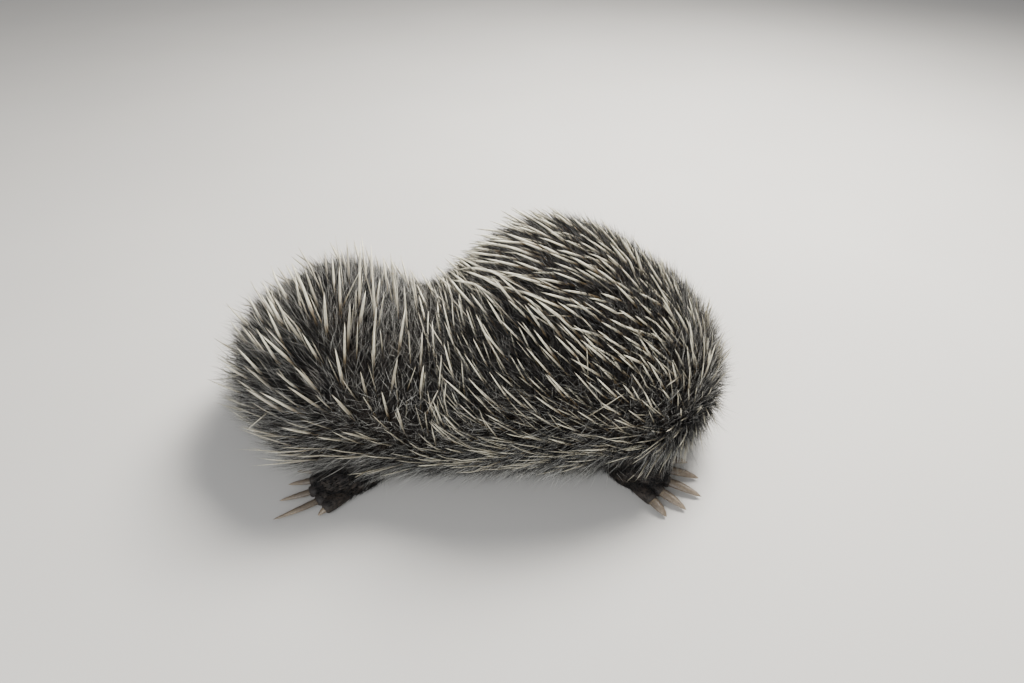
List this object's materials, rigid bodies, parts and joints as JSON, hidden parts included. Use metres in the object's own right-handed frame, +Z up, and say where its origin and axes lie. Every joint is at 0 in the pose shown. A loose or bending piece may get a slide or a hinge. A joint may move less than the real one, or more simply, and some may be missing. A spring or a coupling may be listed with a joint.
{
  "type": "short-beaked echidna, still life-size model",
  "caption": "Spiny, egg-laying mammal lying on its belly, body bent at the waist and head turned low to its left side, as a still life-size model.",
  "frame": {"origin": "on the floor, on the flat of the belly that the animal lies on", "axes": "+X toward the shoulders and chest, -Y to the animal's right flank, which the picture shows, +Z up"},
  "size_m": [0.3667, 0.2932, 0.1651],
  "materials": {
    "coat": "cream, horn-like spines over dark brown-black fur and skin",
    "skin": "dark brown-black skin with short fur",
    "beak": "bare, leathery dark grey skin",
    "eye": "wet, glossy black",
    "claw": "worn grey-brown horn"
  },
  "bodies": {
    "root": {"rump": "coat", "back": "coat", "neck": "coat", "head": "coat", "tail": "coat", "beak": "beak", "left_ear": "skin", "right_ear": "skin", "left_eye": "eye", "right_eye": "eye", "left_foreleg": "skin", "right_foreleg": "skin", "left_hindleg": "skin", "right_hindleg": "skin", "left_foreclaw_1": "claw", "left_foreclaw_2": "claw", "left_foreclaw_3": "claw", "left_foreclaw_4": "claw", "left_foreclaw_5": "claw", "right_foreclaw_1": "claw", "right_foreclaw_2": "claw", "right_foreclaw_3": "claw", "right_foreclaw_4": "claw", "right_foreclaw_5": "claw", "left_hindclaw_1": "claw", "left_hindclaw_2": "claw", "left_hindclaw_3": "claw", "left_hindclaw_4": "claw", "left_hindclaw_5": "claw", "right_hindclaw_1": "claw", "right_hindclaw_2": "claw", "right_hindclaw_3": "claw", "right_hindclaw_4": "claw", "right_hindclaw_5": "claw"}
  },
  "joints": []
}
